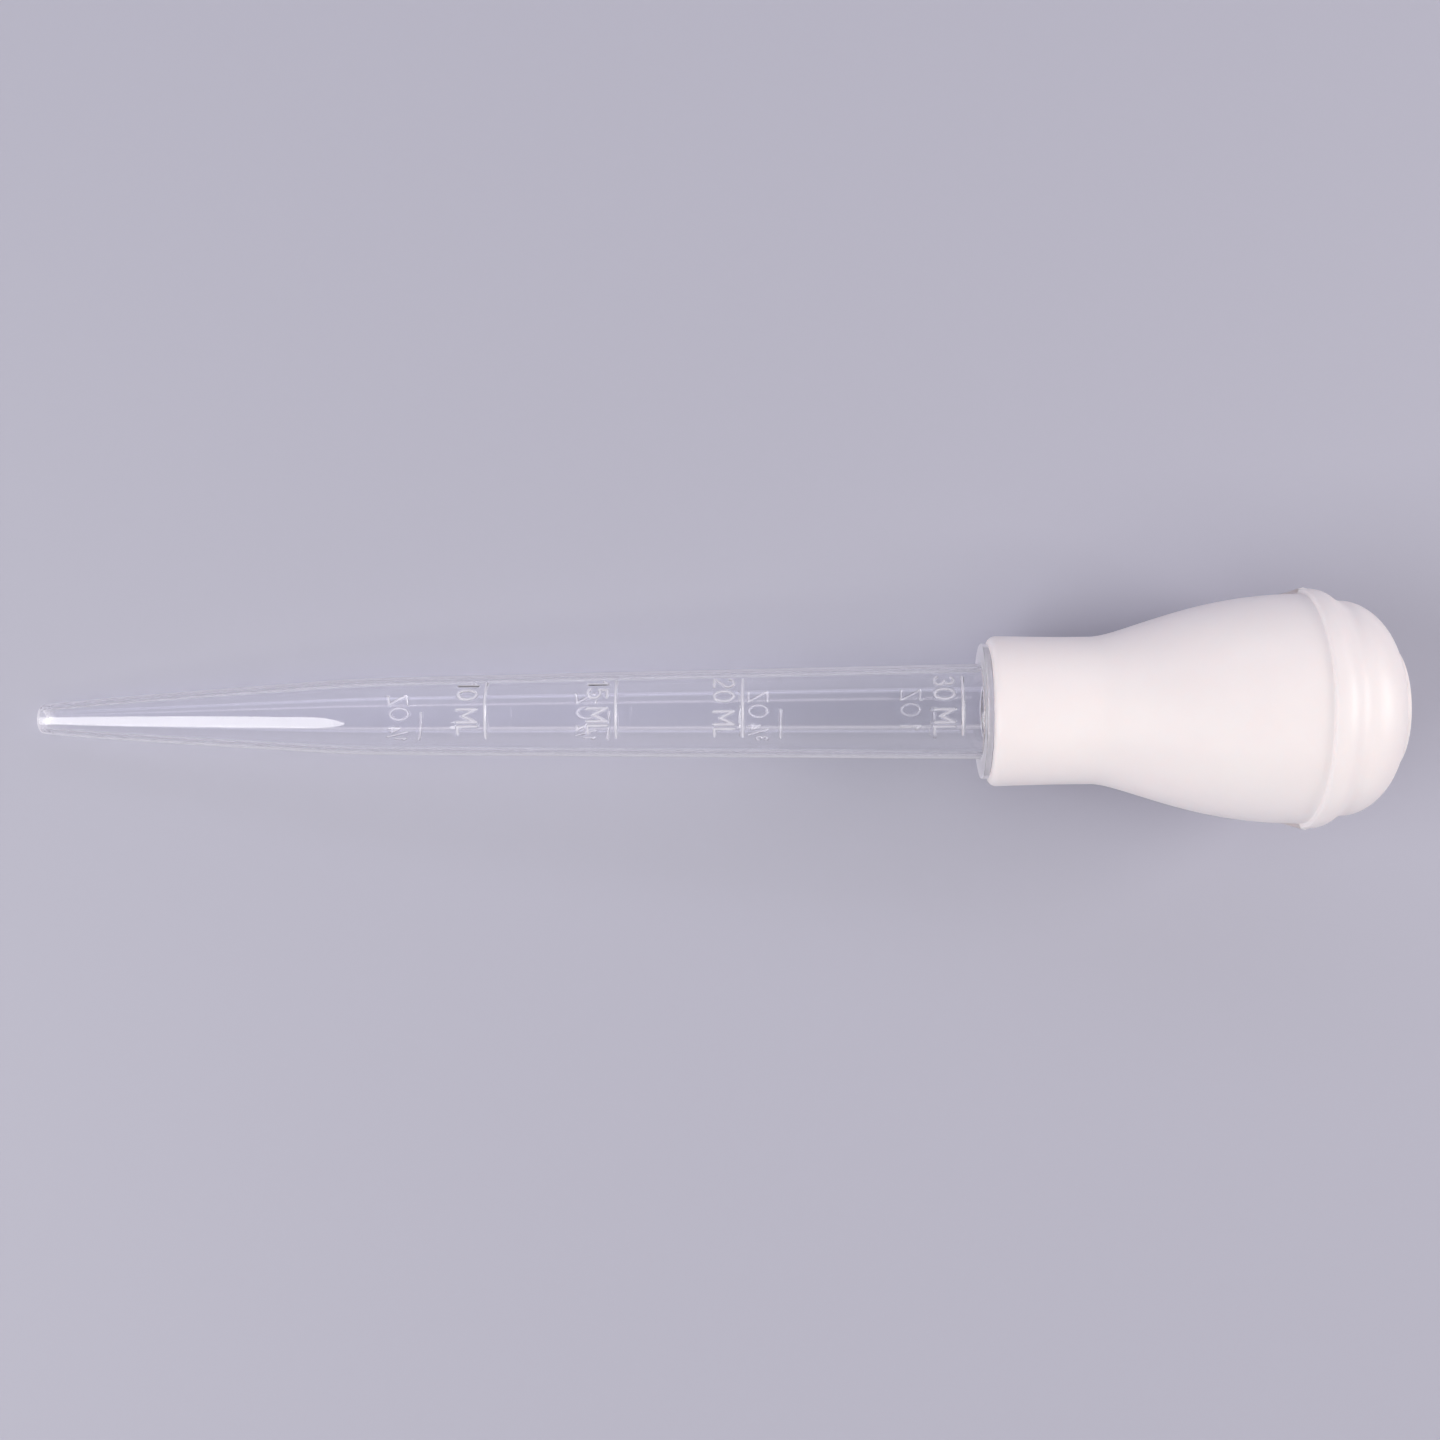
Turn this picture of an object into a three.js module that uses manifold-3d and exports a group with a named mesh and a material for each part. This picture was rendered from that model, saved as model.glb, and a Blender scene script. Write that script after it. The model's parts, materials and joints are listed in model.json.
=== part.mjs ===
// A kitchen baster with a graduated clear tube and a soft squeeze bulb, lying on a table.
// It is one moulded tube (nozzle, barrel, stop flange, ribbed plug) and one moulded bulb pushed over
// the plug. The bulb's flexible belly is split into a shell and two wall pads, so that a squeeze is a
// real travel of the wall. Millimetres, +Z up, the nozzle towards -X.

import * as THREE from 'three';
import { mergeVertices } from 'three/addons/utils/BufferGeometryUtils.js';
import Module from 'manifold-3d';

const wasm = await Module();
wasm.setup();

// ---- driving dimensions ------------------------------------------------------------------------
// Lengths are measured along the axis from the nozzle's end face, radii from the axis.

const SEGMENTS = 40;             // flats round every turned shape, one of them facing straight down
const GAP = 0.3;                 // clearance between pieces that touch on the real object

// Tube: one clear injection moulding.
const NOZZLE_RADIUS = 3.0;       // outside, at the end face
const NOZZLE_EDGE = 0.9;         // length of the softened outer edge
const NOZZLE_EDGE_RADIUS = 3.15;
const NOSE = { at: 13.4, radius: 4.27 };       // where the steeper nose runs out
const CONE_END = { at: 67.4, radius: 7.93 };   // where the cone meets the barrel
const BARREL_END_RADIUS = 9.85;  // outside, where the barrel meets the flange
const TUBE_WALL = 1.1;
const OUTLET_RADIUS = 2.0;
const FLANGE_AT = 197.8;         // front face of the stop flange
const FLANGE_THICKNESS = 1.4;
const FLANGE_RADIUS = 13.95;
const PLUG_END = 220.0;          // rear face of the tube, inside the bulb's neck
const PLUG_RADIUS = 11.7;
const PLUG_BORE_RADIUS = 10.2;
const PLUG_BORE_AT = 202.0;      // where the bore has opened to the plug's bore
const PLUG_EDGE = 1.0;           // lead-in chamfer on the plug's rear edge
const RIB_RADIUS = 12.35;
const RIB_WIDTH = 1.8;
const RIBS_AT = [203.5, 208.5, 213.5];         // middle of each retaining rib

// Graduations: raised bars on the barrel.
const BAR_WIDTH = 0.5;
const BAR_HEIGHT = 0.3;
const BAR_SINK = 0.6;            // how far a bar reaches into the wall it grows from
const MILLILITRE_BARS = [96.3, 123.2, 149.1, 193.5];   // 10, 15, 20 and 30 mL
const MILLILITRE_ARC = { from: 134, to: 219 };         // degrees round from straight down
const OUNCE_BARS = [79.4, 119.8, 156.5, 188.8];        // quarter, half, three quarters and 1 oz
const OUNCE_ARC = { from: -44, to: 0 };

// Bulb: one soft moulding, open at the neck.
const BULB_AT = FLANGE_AT + FLANGE_THICKNESS + GAP;
const LIP_FACE_RADIUS = 14.1;
const LIP = { at: 201.1, radius: 15.4 };       // swollen rim of the neck
const NECK = { at: 217.0, radius: 15.12 };     // waist of the neck
const NECK_BORE_RADIUS = RIB_RADIUS + GAP;
const SHOULDER_AT = 220.0;       // where the neck starts to swell
const BELLY = { at: 262.1, radius: 23.45 };    // end of the belly, at the bead
const BEAD_FACE_RADIUS = 24.25;
const BEAD = { at: 263.4, radius: 24.45 };     // crest of the bead round the base
const BEAD_BACK = { at: 266.2, radius: 23.9 };
const BASE = { at: 269.6, radius: 21.95 };     // where the bead runs into the domed base
const PAD_RADIUS = 12.8;         // flat round pad in the middle of the base
const PAD_ROOT = 279.6;
const PAD_EDGE = 0.6;
const BULB_END = 280.7;
const LYING_FLAT = 0.4;          // how far the soft bead settles where it lies on the table
const BULB_WALL = 2.1;
const END_WALL = 2.6;

// Squeeze pads: the two places where the fingers press the belly in.
const PAD_MIDDLE = 247.0;
const PAD_LENGTH = 22.0;         // along the axis
const PAD_WIDTH = 20.0;          // across the axis
const PAD_CORNER = 7.0;
const CUT_DEPTH = 30.0;          // taller than the belly's wall anywhere in the window

// It lies on the end of its nose and on the bead, so its axis climbs towards the bulb.
const NOSE_DROP = NOSE.radius * Math.cos(Math.PI / SEGMENTS);
const climb = Math.atan2(BEAD.radius - LYING_FLAT - NOSE_DROP, BEAD.at - NOSE.at);

const CLEAR_RESIN = new THREE.MeshStandardMaterial({
  color: '#dcd9e6', roughness: 0.08, metalness: 0, transparent: true, opacity: 0.4,
});
const WHITE_SILICONE = new THREE.MeshStandardMaterial({
  color: '#e9e6ea', roughness: 0.45, metalness: 0,
});

// ---- solids ------------------------------------------------------------------------------------

// Turns a closed three.js geometry into a manifold solid.
function solidOf(geometry) {
  const bare = geometry.clone();
  bare.deleteAttribute('normal');
  bare.deleteAttribute('uv');
  const merged = mergeVertices(bare, 1e-4);
  const index = merged.getIndex().array;
  const triangles = [];
  for (let i = 0; i < index.length; i += 3) {
    const [a, b, c] = [index[i], index[i + 1], index[i + 2]];
    if (a !== b && b !== c && c !== a) triangles.push(a, b, c);
  }
  return new wasm.Manifold(new wasm.Mesh({
    numProp: 3,
    vertProperties: new Float32Array(merged.getAttribute('position').array),
    triVerts: new Uint32Array(triangles),
  }));
}

// Turns a manifold solid back into a named mesh.
function meshOf(name, solid, material) {
  const { numProp, vertProperties, triVerts } = solid.getMesh();
  const positions = new Float32Array((vertProperties.length / numProp) * 3);
  for (let i = 0; i < positions.length / 3; i += 1) {
    positions.set(vertProperties.subarray(i * numProp, i * numProp + 3), i * 3);
  }
  const geometry = new THREE.BufferGeometry();
  geometry.setAttribute('position', new THREE.BufferAttribute(positions, 3));
  geometry.setIndex(Array.from(triVerts));
  geometry.computeVertexNormals();
  const mesh = new THREE.Mesh(geometry, material);
  mesh.name = name;
  return mesh;
}

// Spins an outline of (radius, length) points about the X axis.
function turned(outline, steps) {
  const halfFlat = Math.PI / SEGMENTS;
  const lathe = new THREE.LatheGeometry(outline.getPoints(steps), SEGMENTS, halfFlat);
  return solidOf(lathe.rotateZ(-Math.PI / 2));
}

// ---- tube --------------------------------------------------------------------------------------

// Outside radius of the barrel between the end of the cone and the flange.
function barrelRadius(at) {
  const share = (at - CONE_END.at) / (FLANGE_AT - CONE_END.at);
  return THREE.MathUtils.lerp(CONE_END.radius, BARREL_END_RADIUS, share);
}

// The tube's outline: up the outside from the nozzle to the plug, and back down the bore.
function tubeOutline() {
  const line = new THREE.Path();
  line.moveTo(OUTLET_RADIUS, 0);
  line.lineTo(NOZZLE_RADIUS, 0);
  line.lineTo(NOZZLE_EDGE_RADIUS, NOZZLE_EDGE);
  line.lineTo(NOSE.radius, NOSE.at);
  line.lineTo(CONE_END.radius, CONE_END.at);
  line.lineTo(BARREL_END_RADIUS, FLANGE_AT);
  line.lineTo(FLANGE_RADIUS, FLANGE_AT);
  line.lineTo(FLANGE_RADIUS, FLANGE_AT + FLANGE_THICKNESS);
  line.lineTo(PLUG_RADIUS, FLANGE_AT + FLANGE_THICKNESS);
  for (const rib of RIBS_AT) {
    line.lineTo(PLUG_RADIUS, rib - RIB_WIDTH / 2);
    line.lineTo(RIB_RADIUS, rib - RIB_WIDTH / 4);
    line.lineTo(PLUG_RADIUS, rib + RIB_WIDTH / 2);
  }
  line.lineTo(PLUG_RADIUS, PLUG_END - PLUG_EDGE);
  line.lineTo(PLUG_RADIUS - PLUG_EDGE / 2, PLUG_END);
  line.lineTo(PLUG_BORE_RADIUS, PLUG_END);
  line.lineTo(PLUG_BORE_RADIUS, PLUG_BORE_AT);
  line.lineTo(BARREL_END_RADIUS - TUBE_WALL, FLANGE_AT - FLANGE_THICKNESS);
  line.lineTo(CONE_END.radius - TUBE_WALL, CONE_END.at);
  line.lineTo(NOSE.radius - TUBE_WALL, NOSE.at);
  line.lineTo(OUTLET_RADIUS, 0);
  return line;
}

// One raised bar across the barrel, following its round wall.
function graduationBar(at, arc) {
  const inner = barrelRadius(at) - BAR_SINK;
  const outer = barrelRadius(at) + BAR_HEIGHT;
  const from = THREE.MathUtils.degToRad(arc.from);
  const to = THREE.MathUtils.degToRad(arc.to);
  const sector = new THREE.Shape();
  sector.absarc(0, 0, outer, from, to, false);
  sector.absarc(0, 0, inner, to, from, true);
  sector.closePath();
  const bar = new THREE.ExtrudeGeometry(sector, {
    depth: BAR_WIDTH, bevelEnabled: false, curveSegments: 5,
  });
  bar.rotateY(Math.PI / 2);
  bar.translate(at - BAR_WIDTH / 2, 0, 0);
  return solidOf(bar);
}

function makeTube() {
  let tube = turned(tubeOutline(), 1);
  for (const at of MILLILITRE_BARS) tube = tube.add(graduationBar(at, MILLILITRE_ARC));
  for (const at of OUNCE_BARS) tube = tube.add(graduationBar(at, OUNCE_ARC));
  return meshOf('graduated_tube', tube, CLEAR_RESIN);
}

// ---- bulb --------------------------------------------------------------------------------------

// The bulb's outline: up the outside from the neck to the pad, and back down the air chamber.
function bulbOutline() {
  const chamberEnd = BULB_END - END_WALL;
  const line = new THREE.Path();
  line.moveTo(NECK_BORE_RADIUS, BULB_AT);
  line.lineTo(LIP_FACE_RADIUS, BULB_AT);
  line.quadraticCurveTo(LIP.radius, BULB_AT, LIP.radius, LIP.at);
  line.lineTo(NECK.radius, NECK.at);
  line.lineTo(NECK.radius, SHOULDER_AT);
  line.bezierCurveTo(
    NECK.radius, SHOULDER_AT + 6.5, BELLY.radius, BELLY.at - 22, BELLY.radius, BELLY.at);
  line.lineTo(BEAD_FACE_RADIUS, BELLY.at + 0.4);
  line.lineTo(BEAD.radius, BEAD.at);
  line.lineTo(BEAD_BACK.radius, BEAD_BACK.at);
  line.lineTo(BASE.radius, BASE.at);
  line.bezierCurveTo(
    BASE.radius - 0.15, BASE.at + 4, PAD_RADIUS + 5.2, PAD_ROOT - 1.2, PAD_RADIUS, PAD_ROOT);
  line.lineTo(PAD_RADIUS, BULB_END - PAD_EDGE);
  line.lineTo(PAD_RADIUS - PAD_EDGE, BULB_END);
  line.lineTo(0, BULB_END);
  line.lineTo(0, chamberEnd);
  line.lineTo(PAD_RADIUS - BULB_WALL, chamberEnd);
  line.quadraticCurveTo(
    BELLY.radius - 2 * BULB_WALL, chamberEnd, BELLY.radius - BULB_WALL, BELLY.at + 3);
  line.lineTo(BELLY.radius - BULB_WALL, BELLY.at);
  line.bezierCurveTo(
    BELLY.radius - BULB_WALL, BELLY.at - 22,
    NECK_BORE_RADIUS, SHOULDER_AT + 8.5, NECK_BORE_RADIUS, SHOULDER_AT + 2);
  line.lineTo(NECK_BORE_RADIUS, BULB_AT);
  return line;
}

// A round-cornered block standing on the axis, as tall as the window cut needs. It is drawn
// smaller all round by inset, and reaches up, or down where side is -1.
function windowBlock(inset, side) {
  const x = PAD_LENGTH / 2 - inset;
  const y = PAD_WIDTH / 2 - inset;
  const corner = PAD_CORNER - inset;
  const plan = new THREE.Shape();
  plan.absarc(x - corner, y - corner, corner, 0, Math.PI / 2, false);
  plan.absarc(corner - x, y - corner, corner, Math.PI / 2, Math.PI, false);
  plan.absarc(corner - x, corner - y, corner, Math.PI, 1.5 * Math.PI, false);
  plan.absarc(x - corner, corner - y, corner, 1.5 * Math.PI, 2 * Math.PI, false);
  plan.closePath();
  const block = new THREE.ExtrudeGeometry(plan, {
    depth: CUT_DEPTH, bevelEnabled: false, curveSegments: 3,
  });
  block.translate(PAD_MIDDLE, 0, side > 0 ? 0 : -CUT_DEPTH);
  return solidOf(block);
}

// The table under the bead, as a block seen from the baster's own axis.
function tableUnderBead() {
  const table = new THREE.BoxGeometry(CUT_DEPTH, 3 * BEAD.radius, BEAD.radius);
  table.translate(0, 0, -BEAD.radius / 2);
  table.rotateY(climb);
  table.translate(BEAD.at, 0, LYING_FLAT - BEAD.radius);
  return solidOf(table);
}

function makeBulb() {
  const whole = turned(bulbOutline(), 9).subtract(tableUnderBead());
  const shell = whole.subtract(windowBlock(0, 1)).subtract(windowBlock(0, -1));
  const upper = whole.intersect(windowBlock(GAP, 1));
  const lower = whole.intersect(windowBlock(GAP, -1));
  return [
    meshOf('squeeze_bulb', shell, WHITE_SILICONE),
    meshOf('upper_squeeze_wall', upper, WHITE_SILICONE),
    meshOf('lower_squeeze_wall', lower, WHITE_SILICONE),
  ];
}

// ---- assembly ----------------------------------------------------------------------------------

const axisLine = new THREE.Group();
axisLine.add(makeTube(), ...makeBulb());

axisLine.rotation.y = -climb;

// The origin is the middle of the lying part's footprint, on the table.
const box = new THREE.Box3().setFromObject(axisLine, true);
axisLine.position.set(-(box.min.x + box.max.x) / 2, -(box.min.y + box.max.y) / 2, -box.min.z);

const baster = new THREE.Group();
baster.name = 'baster';
baster.add(axisLine);

export default baster;
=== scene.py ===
"""The looks of a kitchen baster: a clear graduated tube pushed into a soft white squeeze bulb.

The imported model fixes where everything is. This script builds the fine surfaces round it: the
moulded tube with its raised volume scales, and the silicone bulb in two skins that meet along
its mould line, so that each skin can dent with the squeeze wall behind it.

Lengths are in millimetres, measured along the baster's own axis from the nozzle's end face,
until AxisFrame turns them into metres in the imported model's frame.
"""

from __future__ import annotations

import json
import logging
import math
from collections.abc import Iterable, Sequence
from dataclasses import dataclass, field
from enum import Enum

import bmesh
import bpy
import numpy as np
from mathutils import Matrix, Vector

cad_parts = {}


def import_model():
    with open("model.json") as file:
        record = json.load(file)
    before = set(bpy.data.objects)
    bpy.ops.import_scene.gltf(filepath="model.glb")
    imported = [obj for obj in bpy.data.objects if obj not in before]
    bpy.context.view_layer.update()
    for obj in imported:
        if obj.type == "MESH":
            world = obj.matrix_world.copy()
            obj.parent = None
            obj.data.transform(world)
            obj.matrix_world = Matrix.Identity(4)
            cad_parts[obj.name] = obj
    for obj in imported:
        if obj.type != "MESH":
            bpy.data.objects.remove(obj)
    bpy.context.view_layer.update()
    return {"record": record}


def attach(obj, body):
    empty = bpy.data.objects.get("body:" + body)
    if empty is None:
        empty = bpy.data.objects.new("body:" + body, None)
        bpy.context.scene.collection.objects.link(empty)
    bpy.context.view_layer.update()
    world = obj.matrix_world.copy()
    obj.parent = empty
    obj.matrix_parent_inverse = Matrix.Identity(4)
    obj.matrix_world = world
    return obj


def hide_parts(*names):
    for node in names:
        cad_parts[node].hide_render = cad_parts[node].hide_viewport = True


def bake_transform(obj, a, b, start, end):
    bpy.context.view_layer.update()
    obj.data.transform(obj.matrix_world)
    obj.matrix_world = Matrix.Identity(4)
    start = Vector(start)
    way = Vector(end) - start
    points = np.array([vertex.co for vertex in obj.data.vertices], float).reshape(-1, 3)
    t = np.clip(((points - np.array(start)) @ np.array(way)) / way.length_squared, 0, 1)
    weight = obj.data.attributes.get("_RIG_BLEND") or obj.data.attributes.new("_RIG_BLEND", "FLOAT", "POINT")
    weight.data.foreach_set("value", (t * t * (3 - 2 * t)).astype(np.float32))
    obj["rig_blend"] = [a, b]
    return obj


LOG = logging.getLogger("baster")
MM = 0.001
SHARP_EDGE = math.radians(50)
WELD_WITHIN = 1e-7
SLIVER_BELOW = 1e-8

Point = tuple[float, float]


# ---- where things are --------------------------------------------------------------------------


@dataclass(frozen=True)
class AxisFrame:
    """The baster's own axes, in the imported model's frame.

    Attributes:
        origin: centre of the nozzle's end face, in metres.
        along: unit vector from the nozzle to the bulb.
        side: unit vector across the baster, level with the table.
        up: unit vector away from the table, square to the other two.
    """

    origin: Vector
    along: Vector
    side: Vector
    up: Vector

    @classmethod
    def from_record(cls, record: dict, length: float) -> AxisFrame:
        """Reads the axis from the pull-off joint, and its far end from the end pad's mount.

        Args:
            record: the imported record.
            length: the baster's whole length, in millimetres.

        Returns:
            The axes that every piece is built on.
        """
        joint = next(j for j in record["behaviour"]["joints"] if j["name"] == "bulb_pull_off")
        pad = next(m for m in record["mounts"] if m["name"] == "end_pad")
        along = Vector(joint["axis"]).normalized()
        side = Vector((0.0, 1.0, 0.0))
        return cls(Vector(pad["pos_m"]) - along * length * MM, along, side, along.cross(side))

    def matrix(self) -> np.ndarray:
        """The three unit vectors as rows."""
        return np.array([self.along, self.side, self.up], float)

    def place(self, points: np.ndarray) -> np.ndarray:
        """Turns (along, side, up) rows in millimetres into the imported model's metres."""
        return np.array(self.origin, float) + points * MM @ self.matrix()

    def settle(self, points: np.ndarray) -> np.ndarray:
        """Places the points of a soft piece, which lies flat where it meets the table."""
        placed = self.place(points)
        placed[:, 2] = np.maximum(placed[:, 2], 0.0)
        return placed

    def point(self, along: float, side: float = 0.0, up: float = 0.0) -> Vector:
        """One point, given in millimetres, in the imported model's metres."""
        return Vector(self.place(np.array([[along, side, up]]))[0])


# ---- drawing outlines --------------------------------------------------------------------------


@dataclass
class Outline:
    """A line of (length, radius) points, drawn stretch by stretch, in millimetres."""

    points: list[Point]

    def line(self, end: Point, steps: int = 1) -> Outline:
        """Goes straight to end in equal steps."""
        begin = self.points[-1]
        for i in range(1, steps + 1):
            self.points.append(_mix(begin, end, i / steps))
        return self

    def bend(self, corner: Point, end: Point, steps: int = 4) -> Outline:
        """Rounds the corner on the way to end."""
        begin = self.points[-1]
        for i in range(1, steps + 1):
            t = i / steps
            self.points.append(_mix(_mix(begin, corner, t), _mix(corner, end, t), t))
        return self

    def curve(self, first: Point, second: Point, end: Point, steps: int) -> Outline:
        """Goes to end on a cubic curve with two handles."""
        begin = self.points[-1]
        for i in range(1, steps + 1):
            t = i / steps
            near, middle = _mix(begin, first, t), _mix(first, second, t)
            far = _mix(second, end, t)
            self.points.append(_mix(_mix(near, middle, t), _mix(middle, far, t), t))
        return self

    def array(self) -> np.ndarray:
        """The points as rows of (length, radius)."""
        return np.array(self.points, float)


def _mix(a: Point, b: Point, t: float) -> Point:
    """The point a share t of the way from a to b."""
    return a[0] + (b[0] - a[0]) * t, a[1] + (b[1] - a[1]) * t


def smooth_step(value: np.ndarray, low: float, high: float) -> np.ndarray:
    """Rises smoothly from 0 at low to 1 at high."""
    t = np.clip((value - low) / (high - low), 0.0, 1.0)
    return t * t * (3.0 - 2.0 * t)


def flowing_line(knots: Sequence[Point], at: np.ndarray) -> np.ndarray:
    """Radii of a smooth line through the knots, with no overshoot between them.

    Args:
        knots: (length, radius) points in order of length.
        at: the lengths that are asked for.

    Returns:
        One radius for each length.
    """
    x, y = np.array(knots, float).T
    slope = np.diff(y) / np.diff(x)
    tangent = np.empty_like(y)
    tangent[0], tangent[-1] = slope[0], slope[-1]
    total = slope[:-1] + slope[1:]
    tangent[1:-1] = np.where(slope[:-1] * slope[1:] > 0, 2 * slope[:-1] * slope[1:] / total, 0)
    i = np.clip(np.searchsorted(x, at) - 1, 0, len(x) - 2)
    gap = x[i + 1] - x[i]
    t = np.clip((at - x[i]) / gap, 0.0, 1.0)
    start = (1 + 2 * t) * (1 - t) ** 2 * y[i] + t * (1 - t) ** 2 * gap * tangent[i]
    finish = t * t * (3 - 2 * t) * y[i + 1] + t * t * (t - 1) * gap * tangent[i + 1]
    return start + finish


# ---- meshes and nodes --------------------------------------------------------------------------


def make_piece(
    name: str, points: np.ndarray, faces: np.ndarray, finish: bpy.types.Material
) -> bpy.types.Object:
    """Makes a smooth-shaded mesh object from placed points.

    Args:
        name: the piece's name.
        points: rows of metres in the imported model's frame.
        faces: rows of four point numbers.
        finish: the material.

    Returns:
        The new object, linked into the scene.
    """
    mesh = bpy.data.meshes.new(name)
    mesh.from_pydata(points.tolist(), [], faces.tolist())
    mesh.validate()
    mesh.polygons.foreach_set("use_smooth", np.ones(len(mesh.polygons), bool))
    mesh.set_sharp_from_angle(angle=SHARP_EDGE)
    mesh.materials.append(finish)
    piece = bpy.data.objects.new(name, mesh)
    bpy.context.scene.collection.objects.link(piece)
    return piece


def grid_faces(
    rows: int, columns: int, wrap_rows: bool = False, wrap_columns: bool = False
) -> np.ndarray:
    """Faces of a grid of points, numbered row by row.

    Args:
        rows: how many rows of points.
        columns: how many points in each.
        wrap_rows: whether the last row joins the first.
        wrap_columns: whether the last point of a row joins its first.

    Returns:
        Rows of four point numbers.
    """
    i = np.arange(rows if wrap_rows else rows - 1)
    j = np.arange(columns if wrap_columns else columns - 1)
    row, column = (a.ravel() for a in np.meshgrid(i, j, indexing="ij"))
    below, beside = (row + 1) % rows, (column + 1) % columns
    corners = [
        row * columns + column,
        below * columns + column,
        below * columns + beside,
        row * columns + beside,
    ]
    return np.column_stack(corners)


def add_node(
    tree: bpy.types.NodeTree, kind: str, inputs: dict | None = None, **settings: object
) -> bpy.types.Node:
    """Adds a node, with its settings, its values and its links.

    Args:
        tree: the node tree.
        kind: the node's type name.
        inputs: input name or number to a value, or to the output socket that feeds it.
        settings: properties of the node itself.

    Returns:
        The new node.
    """
    node = tree.nodes.new(kind)
    for name, value in settings.items():
        setattr(node, name, value)
    for name, value in (inputs or {}).items():
        if isinstance(value, bpy.types.NodeSocket):
            tree.links.new(value, node.inputs[name])
        else:
            node.inputs[name].default_value = value
    return node


def linear(colour: str) -> tuple[float, float, float, float]:
    """Turns an sRGB colour such as #C0FFEE into linear light, with full alpha."""
    shares = [int(colour[i : i + 2], 16) / 255 for i in (1, 3, 5)]
    light = [s / 12.92 if s <= 0.04045 else ((s + 0.055) / 1.055) ** 2.4 for s in shares]
    return light[0], light[1], light[2], 1.0


def per_metre(millimetres: float) -> float:
    """The scale of a noise pattern whose features are this many millimetres across."""
    return 1.0 / (millimetres * MM)


# ---- finishes ----------------------------------------------------------------------------------


@dataclass(frozen=True)
class Finish:
    """What every finish has: its name and the record's slot that it stands for."""

    name: str
    slot: str

    def new_tree(self) -> tuple[bpy.types.Material, bpy.types.NodeTree, bpy.types.Node]:
        """An empty node material, its tree and its output node."""
        material = bpy.data.materials.new(self.name)
        material.use_nodes = True
        tree = material.node_tree
        tree.nodes.clear()
        return material, tree, add_node(tree, "ShaderNodeOutputMaterial")


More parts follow.
